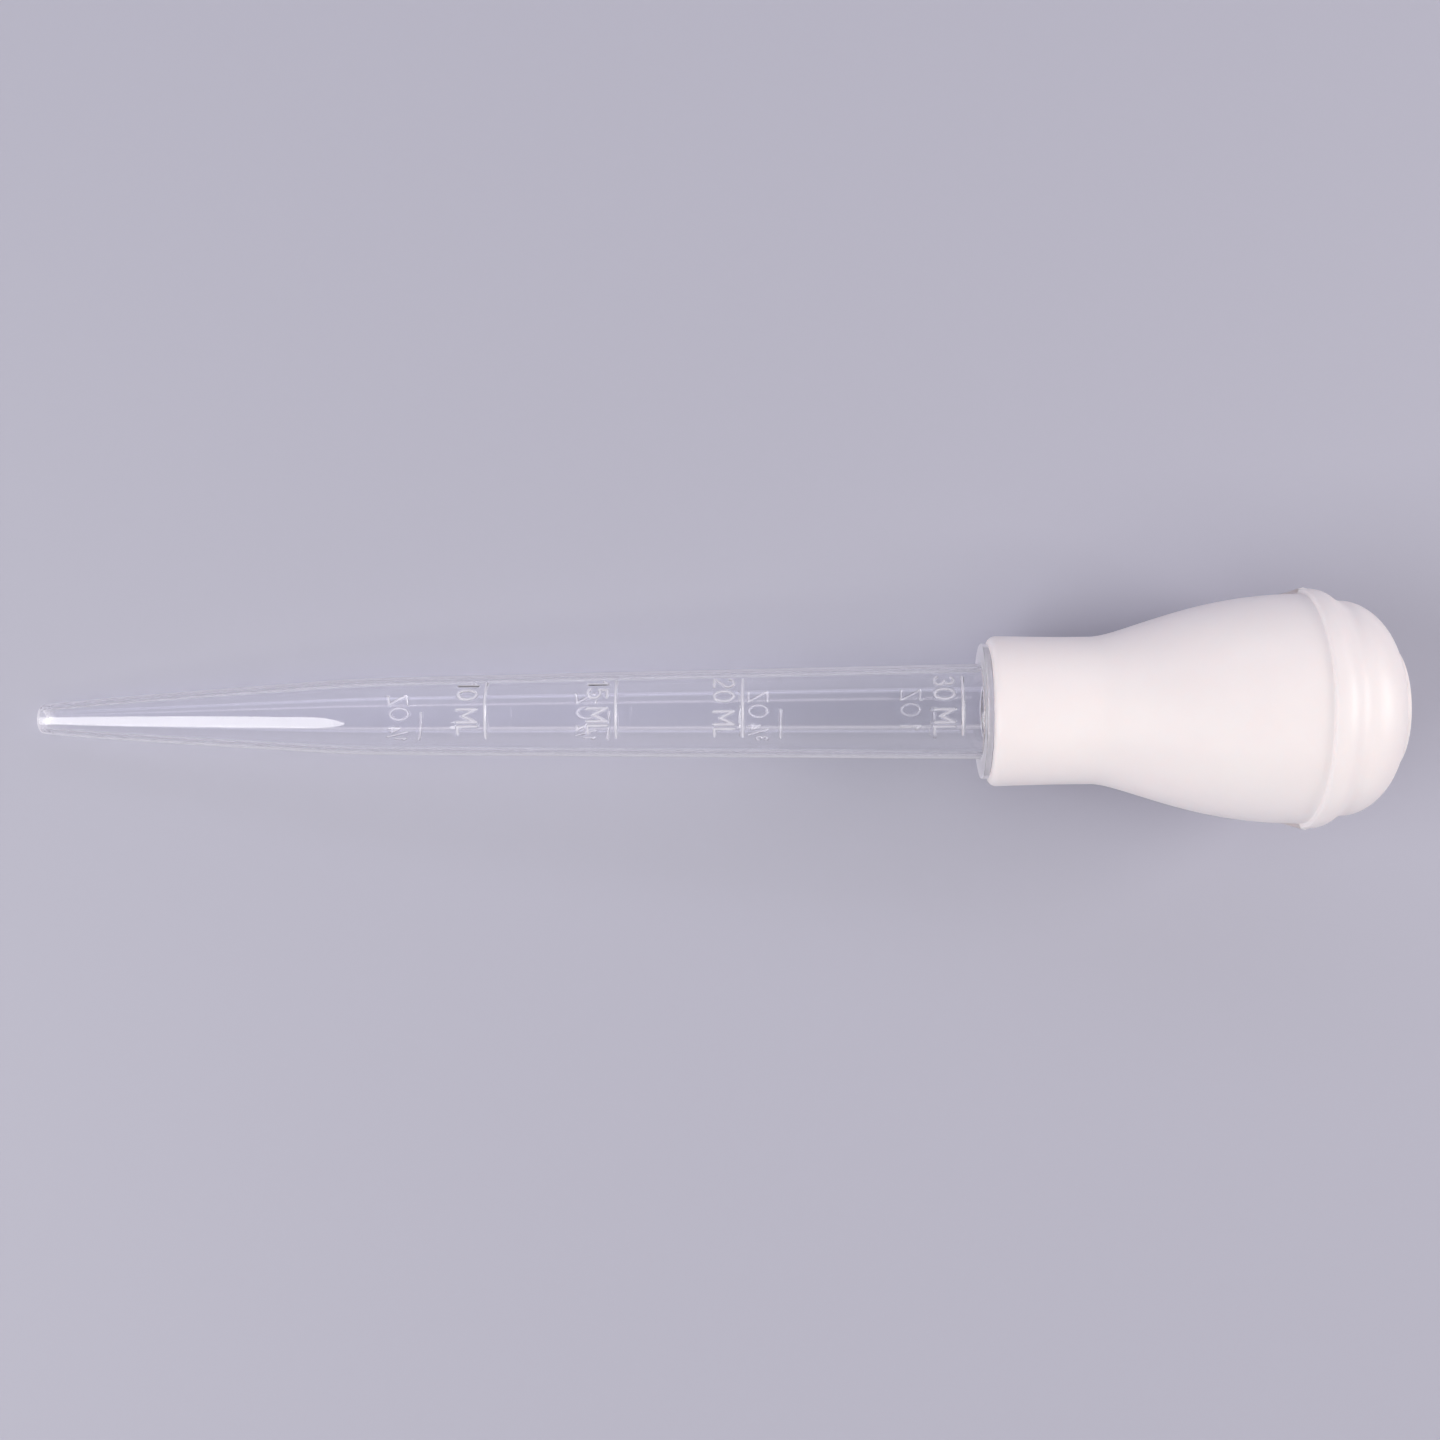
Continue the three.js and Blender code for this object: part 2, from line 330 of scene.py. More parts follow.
@dataclass(frozen=True)
class ClearResin(Finish):
    """Clear SAN, a stiff glassy kitchen plastic, polished by its mould.

    It is bright and almost colourless, bends light a little more than window glass does, and
    shows only the faint lengthwise flow of the resin as it filled the mould. The volume marks
    were spark-eroded into the mould, so they come out frosted and catch the light. The flange
    and the nozzle's end get the same frost to a lesser degree, partly as a matt finish where the
    mould parts and partly as painted light that lightens rims which would otherwise show dark.
    Where a wall is seen edge-on, the frost is painted light too: a light band that stands in
    for what the walls reflect and refract there.
    """

    tint: str = "#FDFDFE"
    roughness: float = 0.02
    refraction: float = 1.57
    shade: str = "#F7F7FA"
    frost_name: str = "frosted"
    frost_colour: str = "#F6F4FC"
    frost_share: float = 0.6
    frost_roughness: float = 0.45
    frost_clearness: float = 0.25
    # Painted light: the frosted band where a wall is seen edge-on.
    edge_light_from: float = 0.55
    edge_light_full: float = 0.74
    edge_light_share: float = 0.75
    flow_width: float = 2.4
    flow_stretch: float = 60.0
    flow_depth: float = 0.004
    flow_strength: float = 0.5
    lean: float = 4.53

    def material(self) -> bpy.types.Material:
        """Builds the node material."""
        material, tree, output = self.new_tree()
        resin = add_node(
            tree,
            "ShaderNodeBsdfPrincipled",
            {
                "Base Color": linear(self.tint),
                "Roughness": self.roughness,
                "IOR": self.refraction,
                "Transmission Weight": 1.0,
                "Normal": self._flow(tree),
            },
        )
        frosted = add_node(
            tree,
            "ShaderNodeBsdfPrincipled",
            {
                "Base Color": linear(self.frost_colour),
                "Roughness": self.frost_roughness,
                "IOR": self.refraction,
                "Transmission Weight": self.frost_clearness,
            },
        )
        skin = add_node(
            tree,
            "ShaderNodeMixShader",
            {0: self._frost_and_painted_light(tree), 1: resin.outputs[0], 2: frosted.outputs[0]},
        )
        # Thin clear walls hardly shade what is under them, so lamps shine straight through.
        rays = add_node(tree, "ShaderNodeLightPath")
        clear = add_node(tree, "ShaderNodeBsdfTransparent", {"Color": linear(self.shade)})
        lit = add_node(
            tree,
            "ShaderNodeMixShader",
            {0: rays.outputs["Is Shadow Ray"], 1: skin.outputs[0], 2: clear.outputs[0]},
        )
        tree.links.new(lit.outputs[0], output.inputs["Surface"])
        return material

    def _flow(self, tree: bpy.types.NodeTree) -> bpy.types.NodeSocket:
        """The ripple of the flow marks, drawn out along the leaning tube."""
        place = add_node(tree, "ShaderNodeTexCoord")
        stretch = add_node(
            tree,
            "ShaderNodeMapping",
            {
                "Vector": place.outputs["Object"],
                "Rotation": (0.0, -math.radians(self.lean), 0.0),
                "Scale": (self.flow_stretch, 1.0, 1.0),
            },
            vector_type="TEXTURE",
        )
        flow = add_node(
            tree,
            "ShaderNodeTexNoise",
            {"Vector": stretch.outputs[0], "Scale": per_metre(self.flow_width), "Detail": 1.0},
        )
        ripple = add_node(
            tree,
            "ShaderNodeBump",
            {
                "Height": flow.outputs[0],
                "Strength": self.flow_strength,
                "Distance": self.flow_depth * MM,
            },
        )
        return ripple.outputs[0]

    def _frost_and_painted_light(self, tree: bpy.types.NodeTree) -> bpy.types.NodeSocket:
        """How much frost shows: on marks and rims, and as painted light on walls seen edge-on."""
        frost = add_node(tree, "ShaderNodeAttribute", attribute_name=self.frost_name)
        matt = add_node(
            tree,
            "ShaderNodeMapRange",
            {"Value": frost.outputs["Fac"], "To Max": self.frost_share},
        )
        # Painted light: walls seen edge-on turn frosted, standing in for what they reflect there.
        slant = add_node(tree, "ShaderNodeLayerWeight")
        painted_edge_light = add_node(
            tree,
            "ShaderNodeMapRange",
            {
                "Value": slant.outputs["Facing"],
                "From Min": self.edge_light_from,
                "From Max": self.edge_light_full,
                "To Max": self.edge_light_share,
            },
        )
        frost_and_edge_light = add_node(
            tree,
            "ShaderNodeMath",
            {0: matt.outputs[0], 1: painted_edge_light.outputs[0]},
            operation="MAXIMUM",
        )
        return frost_and_edge_light.outputs[0]


@dataclass(frozen=True)
class WhiteSilicone(Finish):
    """Opaque white silicone rubber, cast in a fine-blasted steel mould.

    Light goes a little way in, which softens its shading, and the blasted mould leaves a
    satin skin with a fine grain that breaks up the gloss.
    """

    colour: str = "#F9F2F2"
    cloud_colour: str = "#F3EBEC"
    cloud: float = 14.0
    smoothest: float = 0.31
    roughest: float = 0.43
    refraction: float = 1.43
    glow: float = 0.5
    glow_depth: float = 0.9
    glow_by_colour: tuple[float, float, float] = (1.0, 0.85, 0.8)
    wave: float = 7.0
    wave_depth: float = 0.05
    grain: float = 0.35
    grain_depth: float = 0.012
    relief_strength: float = 0.6

    def material(self) -> bpy.types.Material:
        """Builds the node material."""
        material, tree, output = self.new_tree()
        place = add_node(tree, "ShaderNodeTexCoord")
        where = place.outputs["Object"]
        clouds = add_node(
            tree,
            "ShaderNodeTexNoise",
            {"Vector": where, "Scale": per_metre(self.cloud), "Detail": 3.0},
        )
        colours = add_node(
            tree,
            "ShaderNodeMix",
            {
                "Factor": clouds.outputs[0],
                6: linear(self.colour),
                7: linear(self.cloud_colour),
            },
            data_type="RGBA",
        )
        # Handling leaves the skin a touch glossier in places.
        gloss = add_node(
            tree,
            "ShaderNodeMapRange",
            {"Value": clouds.outputs[0], "To Min": self.smoothest, "To Max": self.roughest},
        )
        silicone = add_node(
            tree,
            "ShaderNodeBsdfPrincipled",
            {
                "Base Color": colours.outputs[2],
                "Roughness": gloss.outputs[0],
                "IOR": self.refraction,
                "Subsurface Weight": self.glow,
                "Subsurface Radius": self.glow_by_colour,
                "Subsurface Scale": self.glow_depth * MM,
                "Normal": self._skin(tree, where),
            },
        )
        tree.links.new(silicone.outputs[0], output.inputs["Surface"])
        return material

    def _skin(
        self, tree: bpy.types.NodeTree, where: bpy.types.NodeSocket
    ) -> bpy.types.NodeSocket:
        """The relief of the skin: a slow sag of the soft wall, and the blasted grain on it.

        Args:
            tree: the node tree.
            where: the socket that gives places on the piece.

        Returns:
            The socket that gives the skin's normal.
        """
        waves = add_node(
            tree,
            "ShaderNodeTexNoise",
            {"Vector": where, "Scale": per_metre(self.wave), "Detail": 1.0},
        )
        sag = add_node(
            tree,
            "ShaderNodeBump",
            {
                "Height": waves.outputs[0],
                "Strength": self.relief_strength,
                "Distance": self.wave_depth * MM,
            },
        )
        # The blasted grain is about a tenth of a millimetre, and is drawn coarser to show.
        grains = add_node(
            tree,
            "ShaderNodeTexNoise",
            {"Vector": where, "Scale": per_metre(self.grain), "Detail": 2.0},
        )
        skin = add_node(
            tree,
            "ShaderNodeBump",
            {
                "Height": grains.outputs[0],
                "Strength": self.relief_strength,
                "Distance": self.grain_depth * MM,
                "Normal": sag.outputs[0],
            },
        )
        return skin.outputs[0]


@dataclass(frozen=True)
class TableCard(Finish):
    """Smooth lavender-grey card on the table, which is only a backdrop."""

    colour: str = "#B3B3C2"
    roughness: float = 0.6

    def material(self) -> bpy.types.Material:
        """Builds the node material."""
        material, tree, output = self.new_tree()
        card = add_node(
            tree,
            "ShaderNodeBsdfPrincipled",
            {"Base Color": linear(self.colour), "Roughness": self.roughness},
        )
        tree.links.new(card.outputs[0], output.inputs["Surface"])
        return material


# ---- raised lettering --------------------------------------------------------------------------


def bow(centre: Point, radii: Point, start: float, end: float, steps: int = 10) -> list[Point]:
    """An arc of an ellipse, from one angle in degrees to another."""
    angles = np.radians(np.linspace(start, end, steps + 1))
    return [
        (centre[0] + radii[0] * math.cos(a), centre[1] + radii[1] * math.sin(a)) for a in angles
    ]


@dataclass(frozen=True)
class Glyph:
    """One character, drawn as strokes in a box one unit tall.

    Attributes:
        width: how much of the line it takes.
        strokes: lists of points that a round-ended cutter would follow.
    """

    width: float
    strokes: tuple[list[Point], ...]


GLYPHS: dict[str, Glyph] = {
    "0": Glyph(0.56, (bow((0.28, 0.5), (0.27, 0.49), 0, 360, 16),)),
    "1": Glyph(0.34, ([(0.06, 0.8), (0.26, 1.0), (0.26, 0.0)],)),
    "2": Glyph(0.56, (bow((0.27, 0.71), (0.26, 0.28), 165, -35) + [(0.0, 0.0), (0.55, 0.0)],)),
    "3": Glyph(
        0.54,
        (
            bow((0.25, 0.75), (0.23, 0.24), 155, -90),
            bow((0.25, 0.26), (0.27, 0.25), 90, -155),
        ),
    ),
    "4": Glyph(0.58, ([(0.43, 0.0), (0.43, 1.0), (0.0, 0.3), (0.58, 0.3)],)),
    "5": Glyph(
        0.56,
        ([(0.5, 1.0), (0.08, 1.0), (0.05, 0.58)] + bow((0.26, 0.33), (0.28, 0.32), 130, -145),),
    ),
    "L": Glyph(0.42, ([(0.0, 1.0), (0.0, 0.0), (0.42, 0.0)],)),
    "M": Glyph(0.66, ([(0.0, 0.0), (0.0, 1.0), (0.33, 0.3), (0.66, 1.0), (0.66, 0.0)],)),
    "O": Glyph(0.7, (bow((0.35, 0.5), (0.34, 0.49), 0, 360, 18),)),
    "Z": Glyph(0.6, ([(0.0, 1.0), (0.6, 1.0), (0.0, 0.0), (0.6, 0.0)],)),
}


@dataclass
class Lettering:
    """Lays characters side by side and gives their strokes in millimetres."""

    cap_height: float
    letter_gap: float = 0.22
    word_gap: float = 0.3
    small: float = 0.56
    slash_lean: float = 0.34

    def strokes(self, text: str) -> list[np.ndarray]:
        """The strokes of a text such as 20 ML or 3/4 OZ, starting at the origin.

        Args:
            text: words of letters and digits, where one word may be a fraction.

        Returns:
            Arrays of points, the text running along the first axis.
        """
        made: list[np.ndarray] = []
        x = 0.0
        for word in text.split():
            parts = word.split("/")
            if len(parts) == 2:
                x = self._row(made, parts[0], x, 1.0 - self.small, self.small)
                made.append(np.array([(x, 0.0), (x + self.slash_lean, 1.0)]))
                x = self._row(made, parts[1], x + self.slash_lean, 0.0, self.small)
            else:
                x = self._row(made, word, x, 0.0, 1.0)
            x += self.word_gap
        return [stroke * self.cap_height for stroke in made]

    def width(self, text: str) -> float:
        """How long a text is, in millimetres."""
        return float(max(stroke[:, 0].max() for stroke in self.strokes(text)))

    def _row(
        self, made: list[np.ndarray], word: str, x: float, base: float, size: float
    ) -> float:
        """Adds one run of characters, and returns where the next one starts."""
        for character in word:
            glyph = GLYPHS[character]
            for stroke in glyph.strokes:
                made.append(np.array(stroke) * size + (x, base))
            x += (glyph.width + self.letter_gap) * size
        return x


def distance_to(points: np.ndarray, strokes: Iterable[np.ndarray]) -> np.ndarray:
    """How far each point is from the nearest stroke."""
    best = np.full(len(points), np.inf)
    for stroke in strokes:
        for a, b in zip(stroke[:-1], stroke[1:], strict=True):
            run = b - a
            share = np.clip((points - a) @ run / max(run @ run, 1e-12), 0.0, 1.0)
            best = np.minimum(best, np.linalg.norm(points - a - share[:, None] * run, axis=1))
    return best


class Scale(Enum):
    """The tube's two volume scales, which stand on opposite sides of it."""

    MILLILITRES = 1
    OUNCES = -1


@dataclass(frozen=True)
class Graduation:
    """One raised bar across the tube with its text below it.

    Attributes:
        text: what it reads.
        at: the bar's place along the axis.
        scale: which side of the tube it stands on.
    """

    text: str
    at: float
    scale: Scale


@dataclass
class VolumeScales:
    """Both volume scales as a raised relief on the barrel, in millimetres."""

    marks: tuple[Graduation, ...] = (
        Graduation("10 ML", 96.3, Scale.MILLILITRES),
        Graduation("15 ML", 123.2, Scale.MILLILITRES),
        Graduation("20 ML", 149.1, Scale.MILLILITRES),
        Graduation("30 ML", 193.5, Scale.MILLILITRES),
        Graduation("1/4 OZ", 79.4, Scale.OUNCES),
        Graduation("1/2 OZ", 119.8, Scale.OUNCES),
        Graduation("3/4 OZ", 156.5, Scale.OUNCES),
        Graduation("1 OZ", 188.8, Scale.OUNCES),
    )
    height: float = 0.28
    stroke: float = 0.46
    edge: float = 0.12
    cap_height: float = 4.0
    text_gap: dict[Scale, float] = field(
        default_factory=lambda: {Scale.MILLILITRES: 1.75, Scale.OUNCES: 2.75}
    )
    margin: float = 0.4
    bar_span: dict[Scale, Point] = field(
        default_factory=lambda: {Scale.MILLILITRES: (-4.9, 7.7), Scale.OUNCES: (-6.4, 0.8)}
    )
    millilitres_begin: float = 7.8
    ounces_end: float = 5.2

    def bands(self) -> list[Point]:
        """The stretches of the barrel that carry texts and bars, and need a fine mesh."""
        made = []
        for mark in self.marks:
            base = self._base(mark)
            made.append((base - self.margin, base + self.cap_height + self.margin))
            made.append((mark.at - self.margin, mark.at + self.margin))
        return made

    def _base(self, mark: Graduation) -> float:
        """Where the line stands that a mark's text is written on."""
        return mark.at - self.text_gap[mark.scale] - self.cap_height

    def relief(self, along: np.ndarray, turn: np.ndarray, radius: np.ndarray) -> np.ndarray:
        """How far the surface stands proud at each point.

        Args:
            along: places along the axis.
            turn: angles from straight up towards the side, in radians, from -pi to pi.
            radius: the plain barrel's radius there.

        Returns:
            Heights above the plain barrel.
        """
        height = np.zeros_like(along)
        lettering = Lettering(self.cap_height)
        for mark in self.marks:
            low, high = self._base(mark) - self.margin, mark.at + self.margin
            upper = mark.scale is Scale.MILLILITRES
            facing = turn if upper else np.arctan2(np.sin(turn), -np.cos(turn))
            near = (along > low) & (along < high) & (np.abs(facing) < math.pi / 2)
            arc = facing[near] * radius[near]
            bar = [np.array([(end, mark.at) for end in self.bar_span[mark.scale]])]
            away = distance_to(np.column_stack([arc, along[near]]), bar)
            # Both scales read with the nozzle down, so the two run opposite ways round.
            # The millilitres begin in line, and the ounces end in line.
            if upper:
                reading = self.millilitres_begin - arc
            else:
                reading = arc - self.ounces_end + lettering.width(mark.text)
            text = np.column_stack([reading, along[near] - self._base(mark)])
            away = np.minimum(away, distance_to(text, lettering.strokes(mark.text)))
            rim = self.stroke / 2
            raised = 1.0 - smooth_step(away, rim - self.edge, rim + self.edge)
            height[near] = np.maximum(height[near], raised * self.height)
        return height


# ---- the tube ----------------------------------------------------------------------------------


@dataclass
class GraduatedTube:
    """The one clear moulding: nozzle, cone, barrel with its scales, stop flange and plug.

    Rows are spaced along it in millimetres, and columns round it in degrees. Both are fine
    only where the scales stand proud, so that the mesh stays light.
    """

    axis: AxisFrame
    scales: VolumeScales = field(default_factory=VolumeScales)
    knots: tuple[Point, ...] = (
        (0.8, 3.15),
        (13.4, 4.27),
        (34.6, 5.82),
        (55.8, 7.24),
        (65.5, 7.86),
        (72.0, 8.06),
        (98.0, 8.46),
        (197.8, 9.85),
    )
    nozzle_face: float = 2.75
    wall: float = 1.1
    outlet: float = 2.0
    flange_at: float = 197.8
    flange_radius: float = 13.95
    flange_thickness: float = 1.4
    flange_round: float = 0.35
    plug_radius: float = 11.7
    plug_end: float = 220.0
    plug_round: float = 1.0
    plug_bore: float = 10.2
    plug_bore_at: float = 202.0
    step_back: float = 1.5
    rib_radius: float = 12.35
    rib_width: float = 1.8
    ribs_at: tuple[float, ...] = (203.5, 208.5, 213.5)
    # Frost on the flange and the nozzle's end: partly a matt finish, partly painted light on rims.
    flange_rim_light: float = 0.6
    nozzle_rim_light: float = 0.5
    nozzle_rim_light_to: float = 0.7
    cone_end: float = 76.0
    cone_row: float = 1.5
    coarse_row: float = 3.0
    fine_row: float = 0.21
    row_clearance: float = 0.5
    straight_bore_rows: int = 12
    tapering_bore_rows: int = 40
    fine_half_turn: float = 52.0
    fine_turn: float = 1.25
    coarse_turn: float = 2.4

    @property
    def flange_back(self) -> float:
        """Where the flange ends and the plug begins."""
        return self.flange_at + self.flange_thickness

    def outer_radius(self, along: np.ndarray) -> np.ndarray:
        """Outside radius of the nozzle, cone and barrel."""
        return flowing_line(self.knots, along)

    def barrel_rows(self) -> np.ndarray:
        """Places along the barrel: close together where there is relief, apart elsewhere."""
        begin, end = self.knots[0][0], self.flange_at - self.flange_round
        cone_end, clearance = self.cone_end, self.row_clearance
        cone = np.linspace(begin, cone_end, round((cone_end - begin) / self.cone_row))
        barrel = np.linspace(cone_end, end, round((end - cone_end) / self.coarse_row))
        rows = set(np.round(np.concatenate([cone, barrel]), 3))
        for low, high in self.scales.bands():
            rows = {row for row in rows if not low - clearance < row < high + clearance}
        for low, high in self.scales.bands():
            first, last = math.floor(low / self.fine_row), math.ceil(high / self.fine_row)
            rows |= {round(i * self.fine_row, 3) for i in range(first, last + 1)}
        return np.array(sorted(rows))

    def columns(self) -> np.ndarray:
        """Angles round the tube from straight up, close together on the two scales' sides."""
        half = self.fine_half_turn
        fine = np.linspace(-half, half, round(2 * half / self.fine_turn) + 1)
        gap = 180.0 - 2 * half
        coarse = np.linspace(half, half + gap, round(gap / self.coarse_turn) + 1)[1:-1]
        degrees = np.concatenate([fine, coarse, fine + 180.0, coarse + 180.0])
        return np.radians((degrees + 180.0) % 360.0 - 180.0)

    def rear_outline(self) -> np.ndarray:
        """The flange and the ribbed plug, and the bore back to the nozzle."""
        line = Outline([(self.flange_at - self.flange_round, self.knots[-1][1])])
        self._draw_flange(line)
        self._draw_plug(line)
        self._draw_bore(line)
        return line.array()[1:]

    def _draw_flange(self, line: Outline) -> None:
        """Climbs the flange's front, goes over its rim and comes down to the plug."""
        edge, barrel, rim = self.flange_round, self.knots[-1][1], self.flange_radius
        front, back = self.flange_at, self.flange_back
        line.bend((front, barrel), (front, barrel + edge), 4)
        line.line((front, rim - edge), 3)
        line.bend((front, rim), (front + edge, rim), 4)
        line.line((back - edge, rim))
        line.bend((back, rim), (back, rim - edge), 4)
        line.line((back, self.plug_radius))

    def _draw_plug(self, line: Outline) -> None:
        """Goes over the ribs and round the plug's end into its bore."""
        end, radius, bore = self.plug_end, self.plug_radius, self.plug_bore
        half = self.rib_width / 2
        for rib in self.ribs_at:
            line.line((rib - half, radius))
            line.bend((rib - half / 2, self.rib_radius), (rib, self.rib_radius), 5)
            line.bend((rib + half / 2, self.rib_radius), (rib + half, radius), 5)
        line.line((end - self.plug_round, radius))
        line.bend((end, radius), (end, radius - 0.6), 3)
        line.line((end, bore + 0.3))
        line.bend((end, bore), (end - 0.4, bore), 3)
        line.line((self.plug_bore_at, bore), 3)

    def _draw_bore(self, line: Outline) -> None:
        """Steps in to the barrel's bore and follows the wall down to the outlet."""
        start = self.flange_at - self.step_back
        straight = np.linspace(start, self.cone_end, self.straight_bore_rows + 1)
        tapering = np.linspace(self.cone_end, self.knots[1][0], self.tapering_bore_rows + 1)
        places = np.concatenate([straight, tapering[1:]])
        radii = self.outer_radius(places) - self.wall
        line.line((float(places[0]), float(radii[0])), 4)
        line.points += zip(places[1:].tolist(), radii[1:].tolist(), strict=True)
        line.line((0.3, self.outlet), 6)
        line.bend((0.0, self.outlet), (0.0, self.outlet + 0.2), 3)

    def nozzle_outline(self) -> np.ndarray:
        """The nozzle's end face and its softened outer edge."""
        line = Outline([(0.0, self.outlet + 0.2)])
        line.line((0.0, self.nozzle_face), 2)
        line.bend((0.05, self.knots[0][1]), self.knots[0], 5)
        return line.array()[1:]

    def build(self, finish: ClearResin) -> bpy.types.Object:
        """Makes the tube as one closed mesh.

        Args:
            finish: the clear resin.

        Returns:
            The tube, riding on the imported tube's body.
        """
        turns = self.columns()
        nozzle = self.nozzle_outline()
        rows = self.barrel_rows()[1:]
        barrel = np.column_stack([rows, self.outer_radius(rows)])
        line = np.vstack([nozzle, barrel, self.rear_outline()])
        along = np.repeat(line[:, 0], len(turns))
        radius = np.repeat(line[:, 1], len(turns))
        turn = np.tile(turns, len(line))
        proud = slice(len(nozzle) * len(turns), (len(nozzle) + len(rows)) * len(turns))
        relief = self.scales.relief(along[proud], turn[proud], radius[proud])
        radius[proud] += relief
        points = np.column_stack([along, radius * np.sin(turn), radius * np.cos(turn)])
        faces = grid_faces(len(line), len(turns), wrap_rows=True, wrap_columns=True)
        tube = make_piece("clear_tube", self.axis.place(points), faces, finish.material())
        # Partly painted light: frost lightens the flange and the nozzle's end, which would show dark.
        frost = self._matt_and_painted_rims(along, radius)
        frost[proud] = relief / self.scales.height
        attribute = tube.data.attributes.new(finish.frost_name, "FLOAT", "POINT")
        attribute.data.foreach_set("value", frost)
        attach(tube, "tube")
        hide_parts("graduated_tube")
        return tube

    def _matt_and_painted_rims(self, along: np.ndarray, radius: np.ndarray) -> np.ndarray:
        """Frost on the flange and nozzle end, 0 to 1: part matt finish, part painted rim light."""
        matt = np.zeros(len(along), np.float32)
        on_flange = (along > self.flange_at - 0.1) & (along < self.flange_back + 0.1)
        matt[on_flange & (radius > self.plug_radius)] = self.flange_rim_light
        matt[along < self.nozzle_rim_light_to] = self.nozzle_rim_light
        return matt


# ---- the bulb ----------------------------------------------------------------------------------


class Side(Enum):
    """The two skins of the bulb, above and below its mould line."""

    UPPER = 1
    LOWER = -1

    @property
    def word(self) -> str:
        """The side's name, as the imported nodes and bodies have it."""
        return self.name.lower()


@dataclass
class SqueezeBulb:
    """The soft moulding: lip, neck, belly, bead, domed base and end pad, as two thick skins."""

    axis: AxisFrame
    mouth_at: float = 199.25
    neck_bore: float = 12.65
    lip_face: float = 13.9
    lip: Point = (201.0, 15.42)
    waist: Point = (217.0, 15.12)
    shoulder_at: float = 220.0
    belly: Point = (262.1, 23.42)
    belly_lead: float = 22.0
    bead_crest: Point = (263.5, 24.42)
    bead_back: Point = (267.0, 23.3)
    base: Point = (270.4, 21.9)
    pad_root: Point = (279.5, 13.1)
    pad_radius: float = 12.8
    end: float = 280.7
    wall: float = 2.1
    end_wall: float = 2.6
    mould_line: float = 0.045
    mould_line_width: float = 0.22
    flash: float = 0.38
    flash_at: float = 263.2
    flash_length: float = 0.9
    flash_ragged: float = 0.25
    flash_teeth: float = 9.0
    dent_low: float = 6.0
    dent_high: float = 19.5
    dent_span: tuple[float, float, float, float] = (224.0, 242.0, 250.0, 263.0)
    half_columns: int = 120
    crowding: float = 0.92

    def outer_outline(self) -> np.ndarray:
        """From the mouth, over the belly and the bead, to the middle of the end pad."""
        belly_u, belly_r = self.belly
        crest_u, crest_r = self.bead_crest
        line = Outline([(self.mouth_at, self.neck_bore + 0.25)])
        line.line((self.mouth_at, self.lip_face), 2)
        line.bend((self.mouth_at + 0.05, self.lip[1] - 0.1), self.lip, 9)
        line.curve(
            (self.lip[0] + 4, self.lip[1] - 0.05),
            (self.waist[0] - 6, self.waist[1]),
            self.waist,
            14,
        )
        line.line((self.shoulder_at, self.waist[1]), 3)
        line.curve(
            (self.shoulder_at + 6.5, self.waist[1]),
            (belly_u - self.belly_lead, belly_r),
            self.belly,
            56,
        )
        line.bend((belly_u + 0.18, belly_r), (belly_u + 0.22, belly_r + 0.25), 3)
        line.line((belly_u + 0.36, crest_r - 0.35), 2)
        line.bend((belly_u + 0.42, crest_r - 0.05), (crest_u, crest_r), 5)
        back_u, back_r = self.bead_back
        base_u, base_r = self.base
        line.curve(
            (crest_u + 1.4, crest_r + 0.02), (back_u - 1.0, back_r + 0.75), self.bead_back, 12
        )
        line.curve((back_u + 1.2, back_r - 0.9), (base_u - 1.5, base_r), self.base, 12)
        line.curve(
            (base_u + 3.6, base_r - 0.1),
            (self.pad_root[0] - 1.1, self.pad_root[1] + 4.9),
            self.pad_root,
            34,
        )
        line.bend(
            (self.pad_root[0] + 0.12, self.pad_radius), (self.pad_root[0] + 0.4, self.pad_radius), 3
        )
        line.bend((self.end, self.pad_radius - 0.05), (self.end, self.pad_radius - 1.3), 7)
        line.line((self.end, 0.0), 10)
        return line.array()

    def inner_outline(self, count: int) -> np.ndarray:
        """The air chamber from the mouth to the end wall, as the same count of points."""
        belly_u, belly_r = self.belly[0], self.belly[1] - self.wall
        chamber_end = self.end - self.end_wall
        line = Outline([(self.mouth_at, self.neck_bore)])
        line.line((self.shoulder_at + 2, self.neck_bore), 20)
        line.curve(
            (self.shoulder_at + 8.5, self.neck_bore),
            (belly_u - self.belly_lead, belly_r),
            (belly_u, belly_r),
            60,
        )
        line.line((belly_u + 3, belly_r), 4)
        line.curve(
            (belly_u + 10, belly_r - 0.5),
            (chamber_end - 0.5, belly_r - 5),
            (chamber_end, self.pad_radius - 3),
            30,
        )
        line.line((chamber_end, 0.0), 10)
        points = line.array()
        walked = np.concatenate([[0], np.cumsum(np.hypot(*np.diff(points, axis=0).T))])
        stops = np.linspace(0, walked[-1], count)
        return np.column_stack([np.interp(stops, walked, points[:, k]) for k in (0, 1)])

    def half_turns(self) -> np.ndarray:
        """Angles over one skin, crowded towards its two mould-line edges."""
        t = np.linspace(0.0, 1.0, self.half_columns + 1)
        eased = t - self.crowding * np.sin(2 * math.pi * t) / (2 * math.pi)
        return eased * math.pi

    def flash_height(self, along: np.ndarray, level: np.ndarray) -> np.ndarray:
        """How far the mould line and its torn flash stand proud of the skin.

        Args:
            along: places along the axis.
            level: distances above or below the mould line.

        Returns:
            Heights to add to the skin's radius.
        """
        ridge = np.exp(-((level / self.mould_line_width) ** 2))
        tear = np.exp(-(((along - self.flash_at) / self.flash_length) ** 2))
        ragged = 1.0 - self.flash_ragged * (1.0 - np.sin(along * self.flash_teeth))
        height = self.mould_line + self.flash * tear * ragged
        return ridge * np.where(along < self.pad_root[0], height, 0.0)

